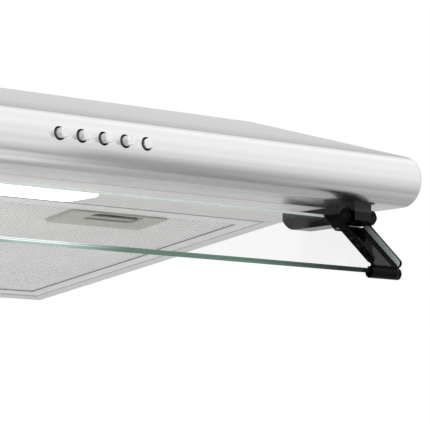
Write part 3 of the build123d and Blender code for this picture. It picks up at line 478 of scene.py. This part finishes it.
cap_black = Finish("cap_black")
cap_black.tones(cap_black.noise(35.0), shade(22, 22, 25), shade(30, 30, 33))
cap_black.gloss(cap_black.noise(90.0), 0.24, 0.34)
cap_black.bumps(cap_black.noise(900.0, 1.0), 0.00002, 0.2)
cap_black.give("Specular IOR Level", 0.3)
# The switch block's black also darkens the gaps round the buttons: partly its own colour, partly
# painted shade for those hollows.
dress(cap_black, *both("hinge_cap"), "switch_block")

# %% [markdown]
# The visor arms are black too, with a pale face on the inside of their outer wall: a
# painted reflection of the bright room, which that face mirrors at a grazing angle. A
# second material would mean choosing faces of a packed solid, which stays as it is, so
# the face is found by its distance from the hood's middle.

# %% Finish the visor arms
face_place = 0.278
face_tolerance = 0.00003
grain_share = 0.5
arm_black = Finish("arm_black")
on_arm = arm_black.wiring.math
from_middle = on_arm("ABSOLUTE", arm_black.sides()["X"])
from_face = on_arm("ABSOLUTE", on_arm("SUBTRACT", from_middle, face_place))
painted_reflection_face = on_arm("LESS_THAN", from_face, face_tolerance)
arm_grain = on_arm("MULTIPLY", arm_black.noise(35.0), grain_share)
# The pale mark is the painted reflection; the two dark marks are the black plastic's own grain.
arm_black.marks(on_arm("MAXIMUM", painted_reflection_face, arm_grain), [
    (0.15, shade(2, 2, 3)), (0.35, shade(7, 7, 9)), (0.9, shade(172, 180, 181)),
])
arm_black.gloss(arm_black.noise(90.0), 0.05, 0.1)
arm_black.bumps(arm_black.noise(150.0, 1.0), 0.00002, 0.06)
arm_black.give("Specular IOR Level", 0.05)
dress(arm_black, *both("visor_arm"))

# %% [markdown]
# ## Dull plastics and rubber
# The fan housing, its wheel, the outlet and the cable gland are a dull dark plastic with
# the grain of a spark-eroded mould, and the motor stands on soft rubber bushes. Their
# grain could be modelled only with millions of faces, so it is a bump of the finish.

# %% Finish the dull plastics and rubber
dark_moulding = Finish("dark_moulding")
dark_moulding.tones(dark_moulding.noise(30.0), shade(62, 63, 66), shade(76, 77, 80))
dark_moulding.gloss(dark_moulding.noise(150.0), 0.45, 0.62)
dark_moulding.bumps(dark_moulding.noise(1100.0, 1.0), 0.00006, 0.4)
dress(
    dark_moulding, "blower_casing", "blower_base", "impeller",
    "outlet_collar", "flap_front", "flap_rear", "cable_gland",
)

soft_rubber = Finish("soft_rubber", roughness=0.8)
soft_rubber.tones(soft_rubber.noise(80.0), shade(38, 38, 38), shade(54, 53, 52))
soft_rubber.bumps(soft_rubber.noise(900.0, 2.0), 0.00008, 0.5)
dress(soft_rubber, "motor_bushes")

# %% [markdown]
# ## Filter frames
# The frames are folded aluminium with a satin face, and the fold round the opening is
# painted darker: a painted shade for the shadow in that gap. Each slopes down to the
# wall, so places along it are measured on the slope, from the lamp panel's edge. The
# painted shade could be a material of its own, but its faces belong to a packed solid, so
# it is found by its distance from the opening's edge. Behind the opening lie inner layers
# of rough grey metal.

# %% Finish the filter frames
filter_slope = radians(6.77)
panel_edge = Vector((0.0, -0.334, 0.0))
opening_width, opening_length = 0.2515, 0.2865
opening_middle = (0.14325, 0.16075)
shade_band_width = 0.0005
middle_place = panel_edge.y + opening_middle[1] * cos(filter_slope)
half_length = opening_length / 2 * cos(filter_slope)

satin_aluminium = Finish("satin_aluminium", metallic=0.15)
on_frame = satin_aluminium.wiring.math
frame_place = satin_aluminium.sides()
sideways = on_frame("SUBTRACT", on_frame("ABSOLUTE", frame_place["X"]), opening_middle[0])
across = on_frame("SUBTRACT", on_frame("ABSOLUTE", sideways), opening_width / 2)
lengthways = on_frame("SUBTRACT", frame_place["Y"], middle_place)
along = on_frame("SUBTRACT", on_frame("ABSOLUTE", lengthways), half_length)
from_opening = on_frame("ABSOLUTE", on_frame("MAXIMUM", across, along))
outside_painted_shade = on_frame("GREATER_THAN", from_opening, shade_band_width)
face_grain = satin_aluminium.noise((300.0, 4.0, 300.0))
# The first mark is the painted shade in the fold round the opening.
satin_aluminium.marks(on_frame("MULTIPLY", outside_painted_shade, face_grain), [
    (0.05, shade(134, 133, 134)), (noise_low, shade(204, 202, 202)), (noise_high, shade(214, 212, 212)),
])
satin_aluminium.gloss(satin_aluminium.noise(60.0), 0.38, 0.52)
satin_aluminium.bumps(satin_aluminium.noise((900.0, 60.0, 900.0), 1.0), 0.00002, 0.2)
dress(satin_aluminium, *both("filter_frame"))

inner_layers = Finish("inner_layers", metallic=0.15, roughness=0.5)
inner_layers.tones(inner_layers.noise(330.0), shade(164, 163, 163), shade(188, 187, 187))
inner_layers.bumps(inner_layers.noise(500.0, 1.0), 0.0003, 0.5)
dress(inner_layers, *both("filter_mesh"))

# %% [markdown]
# ## Latches
# The latch plates are a greyish green plastic, and the slider inside their finger recess
# is painted dark along its front: a painted shade for the shadow deep in the recess. The
# dark band could be a piece of its own, but the slider is one solid, so its colour changes
# at a line.

# %% Finish the latches
latch_plastic = Finish("latch_plastic")
latch_plastic.tones(latch_plastic.noise(40.0), shade(154, 156, 147), shade(162, 164, 155))
latch_plastic.gloss(latch_plastic.noise(200.0), 0.42, 0.58)
latch_plastic.bumps(latch_plastic.noise(1000.0, 1.0), 0.00005, 0.35)
dress(latch_plastic, *both("latch_plate"))

painted_shade_line = -0.3027
slider_plastic = Finish("slider_plastic", roughness=0.45)
behind_painted_shade = slider_plastic.wiring.math("GREATER_THAN", slider_plastic.sides()["Y"], painted_shade_line)
# The dark mark is painted shade along the slider's front, deep in the recess.
slider_plastic.marks(behind_painted_shade, [(0.0, shade(46, 52, 48)), (1.0, shade(146, 150, 142))])
slider_plastic.bumps(slider_plastic.noise(1000.0, 1.0), 0.00005, 0.35)
dress(slider_plastic, *both("latch_slider"))

# %% [markdown]
# ## Small metal
# The fan shaft and the flap pin are drawn steel, and the motor is a cast housing with a
# duller skin. Both could share one metal, but casting leaves a coarser grain than drawing,
# so only the motor has bumps.

# %% Finish the small metal
drawn_steel = Finish("drawn_steel", metallic=1.0)
drawn_steel.tones(drawn_steel.noise(90.0), shade(186, 186, 186), shade(206, 206, 205))
drawn_steel.gloss(drawn_steel.noise(400.0), 0.22, 0.4)
dress(drawn_steel, "fan_shaft", "flap_pin")

cast_metal = Finish("cast_metal", metallic=0.8)
cast_metal.tones(cast_metal.noise(70.0), shade(150, 151, 153), shade(178, 179, 181))
cast_metal.gloss(cast_metal.noise(260.0), 0.4, 0.62)
cast_metal.bumps(cast_metal.noise(800.0, 2.0), 0.00008, 0.4)
dress(cast_metal, "motor")

# %% [markdown]
# ## Visor glass
# The visor is a plain pane of float glass, four millimetres thick, with ground edges.
# Clear glass holds a little iron, so light that runs the long way through it turns green,
# and only the edges show the tint, deep green at the ends. The pale stretch of the front
# edge left of the middle is painted light: the lamp's light that leaves the pane there.
# The white on the front's upper bevel is a painted highlight, and the pale rear edge is a
# painted reflection of the lit underside, with a faint painted glow. Tracing light along
# the whole pane would show this too, but with much noise, so each edge gets a finish of
# its own, coloured by its distance from the hood's left end. The faces have a lower index
# than real glass, which keeps their reflections faint.

# %% Mix the glass finishes
hood_half = solid_box[1][0]
pale_tint = (0.985, 1.0, 0.99, 1.0)
clear_glass = Finish("clear_glass", roughness=0.0)
clear_glass.tones(clear_glass.noise(12.0), pale_tint, white)
clear_glass.give("Transmission Weight", 1.0)
clear_glass.give("IOR", 1.22)


def edge_finish(name, smoothest, colours):
    """Return a ground glass edge, coloured by its distance from the hood's left end."""
    roughness_span = 0.15
    edge = Finish(name)
    edge.marks(edge.wiring.math("ADD", edge.sides()["X"], hood_half), colours)
    ground = edge.noise((60.0, 900.0, 900.0), 2.0)
    edge.gloss(ground, smoothest, smoothest + roughness_span)
    edge.bumps(ground, 0.00003, 0.3)
    return edge


deep_green = shade(24, 34, 30)
end_green = shade(60, 84, 73)
mid_green = shade(94, 120, 108)
lamp_lit_green = shade(158, 182, 175)
pale_white = shade(222, 234, 229)
lit_white = shade(240, 248, 245)
# Partly the glass's green tint, partly painted light: pale where the lamp's light leaves the front
# edge.
front_edge = edge_finish("front_edge", 0.12, [
    (0.075, deep_green), (0.16, mid_green), (0.21, mid_green), (0.235, lamp_lit_green),
    (0.272, lamp_lit_green), (0.32, mid_green), (0.44, mid_green), (0.525, deep_green),
])
front_edge.give("Specular IOR Level", 0.25)
# Painted highlight: lit white on the upper bevel, over the lamp.
lit_bevel = edge_finish("lit_bevel", 0.12, [
    (0.075, deep_green), (0.18, mid_green), (0.22, lit_white), (0.27, lit_white),
    (0.3, lamp_lit_green), (0.325, mid_green), (0.4, mid_green), (0.525, deep_green),
])
lit_bevel.give("Specular IOR Level", 0.15)
# Painted reflection of the lit underside, with a faint painted glow.
rear_edge = edge_finish("rear_edge", 0.2, [(0.05, pale_white), (0.3, lit_white), (0.55, pale_white)])
rear_edge.give("Emission Color", (0.95, 1.0, 0.97, 1.0))
rear_edge.give("Emission Strength", 0.15)
end_edge = edge_finish("end_edge", 0.15, [
    (0.06, deep_green), (0.1, end_green), (0.5, end_green), (0.54, deep_green),
])
pane_finishes = [clear_glass, front_edge, lit_bevel, rear_edge, end_edge]
print("glass finishes:", [finish.material.name for finish in pane_finishes])

# %% [markdown]
# The pane is a copy of its solid, whose edges are sharp. A Bevel modifier could ease them,
# but each new face needs a finish too, so the copy is worked as a mesh: doubled corners
# are merged, flat triangles joined and all edges eased. A face then takes its finish from
# where it lies: on the pane, or at its front, rear or end.

# %% Make the pane
merge_distance = 0.00001
eased_edge = 0.0006
flat_share = 0.999
upper_share = 0.2
pane_form = bmesh.new()
pane_form.from_mesh(solids["visor_glass"].data)
bmesh.ops.remove_doubles(pane_form, verts=pane_form.verts, dist=merge_distance)
bmesh.ops.dissolve_limit(
    pane_form, angle_limit=radians(1.0), verts=pane_form.verts, edges=pane_form.edges
)
bmesh.ops.bevel(
    pane_form, geom=list(pane_form.edges), offset=eased_edge, segments=2, profile=0.5,
    affect="EDGES",
)
pane_form.normal_update()
pane_up = max(pane_form.faces, key=lambda face: face.calc_area()).normal.copy()
if pane_up.z < 0.0:
    pane_up.negate()
pane_front = pane_up.cross(Vector((-1.0, 0.0, 0.0)))
if pane_front.y > 0.0:
    pane_front.negate()
reaches = [vert.co.dot(pane_front) for vert in pane_form.verts]
front_line = max(reaches) - 2 * eased_edge
rear_line = min(reaches) + 2 * eased_edge


def pane_finish(face):
    """Return the finish of a face of the pane, by where it lies."""
    facing_up = face.normal.dot(pane_up)
    reach = face.calc_center_median().dot(pane_front)
    if abs(facing_up) >= flat_share:
        return clear_glass
    if reach > front_line:
        return lit_bevel if facing_up > upper_share else front_edge
    return rear_edge if reach < rear_line else end_edge


for face in pane_form.faces:
    face.material_index = pane_finishes.index(pane_finish(face))
    face.smooth = False
pane_mesh = bpy.data.meshes.new("visor_pane")
pane_form.to_mesh(pane_mesh)
pane_form.free()
for finish in pane_finishes:
    pane_mesh.materials.append(finish.material)
visor_pane = bpy.data.objects.new("visor_pane", pane_mesh)
scene.collection.objects.link(visor_pane)
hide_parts("visor_glass")
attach(visor_pane, "visor")
print("visor pane:", len(pane_mesh.polygons), "faces")

# %% [markdown]
# ## Woven filter metal
# Each grease filter shows a thin expanded sheet: one strip of aluminium that is slit and
# pulled into small diamonds. It repeats thousands of times, which is work for Geometry
# Nodes: one crossing of two strands is placed on a grid of points. Drawing the lines as a
# bump would look right from afar only, and the exported shape would be a flat sheet.

# %% Define how a node tree becomes a plain mesh
FLOAT = "NodeSocketFloat"
WHOLE = "NodeSocketInt"
VECTOR = "NodeSocketVector"
MATERIAL = "NodeSocketMaterial"
GEOMETRY = "NodeSocketGeometry"


def new_tree(name, inputs):
    """Start a geometry tree with named inputs and return it with its ends."""
    tree = bpy.data.node_groups.new(name, "GeometryNodeTree")
    for label, kind in [("Geometry", GEOMETRY), *inputs]:
        tree.interface.new_socket(name=label, in_out="INPUT", socket_type=kind)
    tree.interface.new_socket(name="Geometry", in_out="OUTPUT", socket_type=GEOMETRY)
    return tree, tree.nodes.new("NodeGroupInput"), tree.nodes.new("NodeGroupOutput")


def grown_piece(name, tree, points, values):
    """Run a tree over points and return its result as a plain mesh object."""
    seed_mesh = bpy.data.meshes.new(name + "_points")
    seed_mesh.from_pydata(points, [], [])
    seed = bpy.data.objects.new(name + "_points", seed_mesh)
    scene.collection.objects.link(seed)
    modifier = seed.modifiers.new("grow", "NODES")
    modifier.node_group = tree
    for item in tree.interface.items_tree:
        if item.in_out == "INPUT" and item.name in values:
            modifier[item.identifier] = values[item.name]
    bpy.context.view_layer.update()
    grown = seed.evaluated_get(bpy.context.evaluated_depsgraph_get())
    mesh = bpy.data.meshes.new_from_object(grown)
    mesh.name = name
    seed.modifiers.remove(modifier)
    bpy.data.objects.remove(seed)
    piece = bpy.data.objects.new(name, mesh)
    scene.collection.objects.link(piece)
    triangles = sum(len(face.vertices) - 2 for face in mesh.polygons)
    print(name, "has", triangles, "triangles")
    return piece


print("kinds of inputs:", FLOAT, WHOLE, VECTOR, MATERIAL, GEOMETRY)

# %% Build one crossing of the woven sheet
weave_tree, weave_in, weave_out = new_tree(
    "woven_sheet",
    [("Width", FLOAT), ("Length", FLOAT), ("Columns", WHOLE), ("Rows", WHOLE),
     ("Strand Width", FLOAT), ("Strand Height", FLOAT), ("Gap Middle", VECTOR),
     ("Gap Half Width", FLOAT), ("Gap Half Length", FLOAT), ("Place", VECTOR),
     ("Turn", VECTOR), ("Material", MATERIAL)],
)
weave = Wiring(weave_tree)
sheet = weave_in.outputs
cell_width = weave.math("DIVIDE", sheet["Width"], sheet["Columns"])
cell_length = weave.math("DIVIDE", sheet["Length"], sheet["Rows"])
diagonal = weave.vector_math("LENGTH", weave.vector(cell_width, cell_length))["Value"]
lean = weave.math("ARCTAN2", cell_length, cell_width)
strand_size = weave.vector(diagonal, sheet["Strand Width"], sheet["Strand Height"])
strand = weave.add("GeometryNodeMeshCube", Size=strand_size).outputs["Mesh"]
crossing = weave.add("GeometryNodeJoinGeometry")
for sign in (1.0, -1.0):
    leaning = weave.vector(z=weave.math("MULTIPLY", lean, sign))
    turned = weave.add("GeometryNodeTransform", Geometry=strand, Rotation=leaning)
    weave.feed(crossing.inputs["Geometry"], turned.outputs["Geometry"])
print("crossing:", len(weave_tree.nodes), "nodes")

# %% Spread the crossings over the sheet
grid = weave.add(
    "GeometryNodeMeshGrid",
    Size_X=weave.math("SUBTRACT", sheet["Width"], cell_width),
    Size_Y=weave.math("SUBTRACT", sheet["Length"], cell_length),
    Vertices_X=sheet["Columns"],
    Vertices_Y=sheet["Rows"],
)
position = weave.add("GeometryNodeInputPosition").outputs["Position"]
from_gap = weave.apart(weave.vector_math("SUBTRACT", position, sheet["Gap Middle"])["Vector"])
near_x = weave.math("LESS_THAN", weave.math("ABSOLUTE", from_gap["X"]), sheet["Gap Half Width"])
near_y = weave.math("LESS_THAN", weave.math("ABSOLUTE", from_gap["Y"]), sheet["Gap Half Length"])
kept = weave.add(
    "GeometryNodeDeleteGeometry",
    Geometry=grid.outputs["Mesh"],
    Selection=weave.math("MULTIPLY", near_x, near_y),
)
placed = weave.add(
    "GeometryNodeInstanceOnPoints",
    Points=kept.outputs["Geometry"],
    Instance=crossing.outputs["Geometry"],
)
real_strands = weave.add("GeometryNodeRealizeInstances", Geometry=placed.outputs["Instances"])
moved = weave.add(
    "GeometryNodeTransform", Geometry=real_strands.outputs["Geometry"],
    Translation=sheet["Place"], Rotation=sheet["Turn"],
)
coated = weave.add(
    "GeometryNodeSetMaterial", Geometry=moved.outputs["Geometry"], Material=sheet["Material"]
)
weave.feed(weave_out.inputs["Geometry"], coated.outputs["Geometry"])
print("woven sheet tree:", len(weave_tree.nodes), "nodes")

# %% [markdown]
# The filters slope down towards the wall, so the tree turns its flat grid about X. The
# strands lie just below the filter's inner layers, and leave out the place of the latch.

# %% Make the woven sheets
woven_aluminium = Finish("woven_aluminium", metallic=0.25)
woven_aluminium.tones(woven_aluminium.noise(25.0), shade(236, 235, 234), shade(244, 243, 242))
woven_aluminium.gloss(woven_aluminium.noise(500.0), 0.3, 0.48)

slope_turn = Vector((-filter_slope, 0.0, 0.0))
latch_middle = (0.15375, 0.03725)
latch_half = (0.048, 0.02175)
strand_level = 0.00092
strand_width, strand_height = 0.0009, 0.00012
columns, rows = 39, 68
for side, sign in (("right", 1.0), ("left", -1.0)):
    flat_place = Vector((sign * opening_middle[0], opening_middle[1], strand_level))
    flat_place.rotate(Euler(slope_turn))
    gap_middle = Vector((
        sign * (latch_middle[0] - opening_middle[0]), latch_middle[1] - opening_middle[1], 0.0
    ))
    woven_sheet = grown_piece(
        f"woven_sheet_{side}", weave_tree, [(0.0, 0.0, 0.0)],
        {
            "Width": opening_width, "Length": opening_length, "Columns": columns, "Rows": rows,
            "Strand Width": strand_width, "Strand Height": strand_height, "Gap Middle": gap_middle,
            "Gap Half Width": latch_half[0], "Gap Half Length": latch_half[1],
            "Place": panel_edge + flat_place, "Turn": slope_turn,
            "Material": woven_aluminium.material,
        },
    )
    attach(woven_sheet, f"filter_{side}")

# %% [markdown]
# ## Screws
# The screws are pan heads with a cross slot. Each could be modelled where it stands, but
# they are all alike, so a tree cuts the slot into one head, adds the shank and sets it on
# every point that it is given. Sizes of the head are shares of its radius and height.

# %% Build the tree of the screws
rim_share = 0.45
dome_top_share, dome_foot_share = 0.62, 0.995
slot_long_share, slot_wide_share = 1.1, 0.26
slot_height_share = 0.9
head_sides, shank_sides = 24, 16
screw_tree, screw_in, screw_out = new_tree(
    "cross_screws",
    [("Head Radius", FLOAT), ("Head Height", FLOAT), ("Shank Radius", FLOAT),
     ("Shank Length", FLOAT), ("Material", MATERIAL)],
)
drive = Wiring(screw_tree)
screw = screw_in.outputs


def share_of(whole, share):
    """Return a share of a size."""
    return drive.math("MULTIPLY", whole, share)


def raised(mesh, height):
    """Return a shape of the screw, moved along its axis."""
    moved_up = drive.add("GeometryNodeTransform", Geometry=mesh, Translation=drive.vector(z=height))
    return moved_up.outputs["Geometry"]


rim_height = share_of(screw["Head Height"], rim_share)
dome_height = drive.math("SUBTRACT", screw["Head Height"], rim_height)
rim = drive.add(
    "GeometryNodeMeshCylinder", Vertices=head_sides, Radius=screw["Head Radius"], Depth=rim_height
)
dome = drive.add(
    "GeometryNodeMeshCone", Vertices=head_sides, Side_Segments=1, Depth=dome_height,
    Radius_Top=share_of(screw["Head Radius"], dome_top_share),
    Radius_Bottom=share_of(screw["Head Radius"], dome_foot_share),
)
shank = drive.add(
    "GeometryNodeMeshCylinder", Vertices=shank_sides,
    Radius=screw["Shank Radius"], Depth=screw["Shank Length"],
)
slot_long = share_of(screw["Head Radius"], slot_long_share)
slot_wide = share_of(screw["Head Radius"], slot_wide_share)
cut_dome = drive.add("GeometryNodeMeshBoolean", Mesh_1=raised(dome.outputs["Mesh"], rim_height))
cut_dome.operation = "DIFFERENCE"
for x, y in ((slot_long, slot_wide), (slot_wide, slot_long)):
    bar = drive.add("GeometryNodeMeshCube", Size=drive.vector(x, y, dome_height))
    slot_height = share_of(screw["Head Height"], slot_height_share)
    drive.feed(cut_dome.inputs["Mesh 2"], raised(bar.outputs["Mesh"], slot_height))
whole_screw = drive.add("GeometryNodeJoinGeometry")
for shape in (
    raised(rim.outputs["Mesh"], share_of(rim_height, 0.5)),
    cut_dome.outputs["Mesh"],
    raised(shank.outputs["Mesh"], share_of(screw["Shank Length"], -0.5)),
):
    drive.feed(whole_screw.inputs["Geometry"], shape)
set_screws = drive.add(
    "GeometryNodeInstanceOnPoints",
    Points=screw["Geometry"],
    Instance=whole_screw.outputs["Geometry"],
)
real_screws = drive.add("GeometryNodeRealizeInstances", Geometry=set_screws.outputs["Instances"])
coated_screws = drive.add(
    "GeometryNodeSetMaterial", Geometry=real_screws.outputs["Geometry"], Material=screw["Material"]
)
drive.feed(screw_out.inputs["Geometry"], coated_screws.outputs["Geometry"])
print("screw tree:", len(screw_tree.nodes), "nodes")

# %% [markdown]
# The points could be typed in, but they are measured from the packed screws, so that each
# new screw stands where its solid is. A packed node can hold several screws in one mesh,
# so they are told apart first, by walking along edges until nothing more is joined.


# %% Measure the packed screws
def middle_of(corners):
    """Return the mean of points, to a tenth of a millimetre."""
    return tuple(round(part, 4) for part in sum(corners, Vector()) / len(corners))


def screw_islands(node):
    """Return the corner points of each separate screw of a packed node."""
    form = bmesh.new()
    form.from_mesh(solids[node].data)
    bmesh.ops.remove_doubles(form, verts=form.verts, dist=merge_distance)
    left = set(form.verts)
    islands = []
    while left:
        reached = {left.pop()}
        to_search = list(reached)
        while to_search:
            vert = to_search.pop()
            for edge in vert.link_edges:
                other = edge.other_vert(vert)
                if other in left:
                    left.remove(other)
                    reached.add(other)
                    to_search.append(other)
        islands.append([vert.co.copy() for vert in reached])
    form.free()
    return sorted(islands, key=middle_of)


def measured_screw(corners):
    """Return the point under a screw's head, and its sizes by the names of the tree's inputs."""
    rim_tolerance = 0.0001
    tip_tolerance = 0.00001
    across = [corner.x for corner in corners]
    deep = [corner.y for corner in corners]
    heights = [corner.z for corner in corners]
    middle_x = (max(across) + min(across)) / 2
    middle_y = (max(deep) + min(deep)) / 2
    head_radius = max(across) - middle_x
    tip = [corner.x for corner in corners if corner.z < min(heights) + tip_tolerance]
    seat = min(corner.z for corner in corners if corner.x - middle_x > head_radius - rim_tolerance)
    sizes = {
        "Head Radius": head_radius, "Head Height": max(heights) - seat,
        "Shank Radius": max(tip) - middle_x, "Shank Length": seat - min(heights),
    }
    return (middle_x, middle_y, seat), sizes


screw_nodes = ("hinge_screws", "motor_screws", "post_screws", "rim_screws")
packed_screws = {
    node: [measured_screw(corners) for corners in screw_islands(node)] for node in screw_nodes
}
print("screws:", {node: len(screws) for node, screws in packed_screws.items()})

# %% Make the screws
plated_steel = Finish("plated_steel", metallic=1.0)
plated_steel.tones(plated_steel.noise(200.0), shade(190, 190, 188), shade(214, 213, 210))
plated_steel.gloss(plated_steel.noise(700.0), 0.2, 0.38)
for node, measured in packed_screws.items():
    seats = [seat for seat, _ in measured]
    # The screws of one node are alike, so the sizes of the last one serve for all.
    sizes = measured[-1][1]
    screws = grown_piece(
        f"cross_{node}", screw_tree, seats, {**sizes, "Material": plated_steel.material}
    )
    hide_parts(node)
    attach(screws, "hood")
